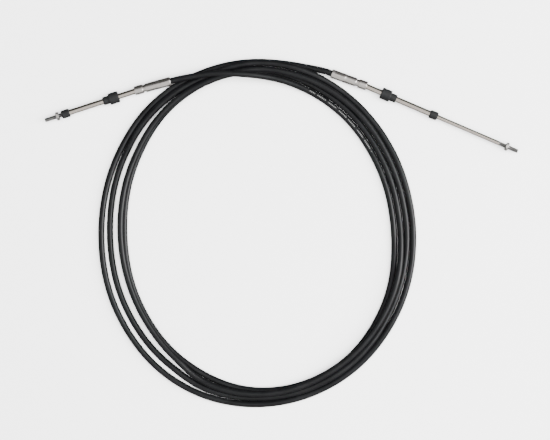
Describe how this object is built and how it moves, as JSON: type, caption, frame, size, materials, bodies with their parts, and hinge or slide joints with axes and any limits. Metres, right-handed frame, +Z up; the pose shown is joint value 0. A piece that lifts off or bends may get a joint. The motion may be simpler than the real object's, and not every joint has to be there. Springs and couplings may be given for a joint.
{
  "type": "boat control cable",
  "caption": "Coiled push-pull control cable with a black jacketed conduit, crimped hubs, swivelling guide tubes, rubber boots and seals, and sliding threaded rods.",
  "frame": {"origin": "on the floor under the middle of the whole cable's box", "axes": "+Z up; +X from the end whose rod is in to the end whose rod is out; +Y towards the side of the coil where both ends leave it"},
  "size_m": [0.5588, 0.412, 0.0231],
  "materials": {
    "jacket": "extruded black plastic jacket, semi-gloss",
    "hub_metal": "dull nickel-grey, crimped",
    "stainless": "ground stainless",
    "boot_rubber": "moulded matt black rubber",
    "nut_metal": "bright"
  },
  "bodies": {
    "cable": {"conduit": "jacket", "left_hub": "hub_metal", "right_hub": "hub_metal"},
    "left_sleeve": {"left_swivel_tube": "stainless", "left_boot": "boot_rubber", "left_rod_seal": "boot_rubber"},
    "left_slider": {"left_rod": "stainless", "left_jam_nut": "nut_metal"},
    "right_sleeve": {"right_swivel_tube": "stainless", "right_boot": "boot_rubber", "right_rod_seal": "boot_rubber"},
    "right_slider": {"right_rod": "stainless", "right_jam_nut": "nut_metal"}
  },
  "joints": [
    {"name": "left_swivel", "type": "hinge", "parent": "cable", "child": "left_sleeve", "pos_m": [-0.1682, 0.16907, 0.0068], "axis": [0, 0, 1], "range_deg": [-11.25, 4.75]},
    {"name": "left_rod_slide", "type": "slide", "parent": "left_sleeve", "child": "left_slider", "axis": [-0.9508, -0.3098, 0], "range_m": [0, 0.0825]},
    {"name": "right_swivel", "type": "hinge", "parent": "cable", "child": "right_sleeve", "pos_m": [0.09598, 0.17507, 0.0068], "axis": [0, 0, 1], "range_deg": [-4.75, 11.25]},
    {"name": "right_rod_slide", "type": "slide", "parent": "right_sleeve", "child": "right_slider", "axis": [0.9188, -0.3947, 0], "range_m": [-0.0825, 0]}
  ],
  "couplings": [
    {"joint": "right_rod_slide", "follows": "left_rod_slide", "ratio": -1}
  ]
}
